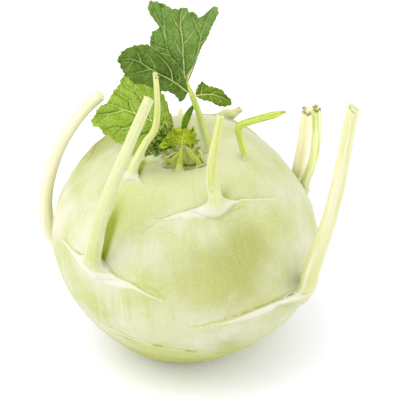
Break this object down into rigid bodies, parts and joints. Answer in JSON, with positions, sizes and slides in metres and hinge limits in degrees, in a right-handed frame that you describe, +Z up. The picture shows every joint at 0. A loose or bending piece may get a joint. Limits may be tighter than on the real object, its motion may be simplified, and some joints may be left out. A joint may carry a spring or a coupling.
{
  "type": "kohlrabi",
  "caption": "Round swollen-stem vegetable with trimmed leaf stalks rising round it and a tuft of young lobed leaves on its crown, standing on its flat root cut.",
  "frame": {"origin": "middle of the flat root cut that it stands on", "axes": "+Z up along the stem; the side with the wide-footed stalk faces -Y"},
  "size_m": [0.1093, 0.096, 0.1365],
  "materials": {
    "skin": "pale green waxy plant skin, soft sheen",
    "cream_stalk": "cream waxy leaf stalk, finely grooved",
    "green_stalk": "yellow-green waxy leaf stalk, finely grooved",
    "bright_stalk": "bright green leaf stalk, finely grooved",
    "leaf": "green leaf with a waxy bloom and pale veins",
    "low_leaf": "bright green leaf with pale veins",
    "heart_leaf": "yellow-green crinkled young leaf",
    "curly_leaf": "dark green curled young leaf"
  },
  "bodies": {
    "root": {"bulb": "skin", "stalk_front_left": "cream_stalk", "stalk_front": "cream_stalk", "stalk_far_right": "cream_stalk", "stalk_left": "cream_stalk", "stalk_thin_left": "green_stalk", "stalk_bent": "bright_stalk", "stalk_right_pale": "cream_stalk", "stalk_right_green": "green_stalk", "stalk_back_right": "cream_stalk", "stalk_back_left": "green_stalk", "tall_leaf_stalk": "green_stalk", "low_leaf_stalk": "bright_stalk", "heart_stalk_middle": "green_stalk", "heart_stalk_left": "green_stalk", "heart_stalk_right": "green_stalk", "rolled_leaf": "curly_leaf", "tall_leaf_blade": "leaf", "tall_leaf_left_lobe": "leaf", "tall_leaf_right_lobe": "leaf", "low_leaf_blade": "low_leaf", "heart_leaf_light": "heart_leaf", "heart_leaf_dark": "curly_leaf"}
  },
  "joints": []
}
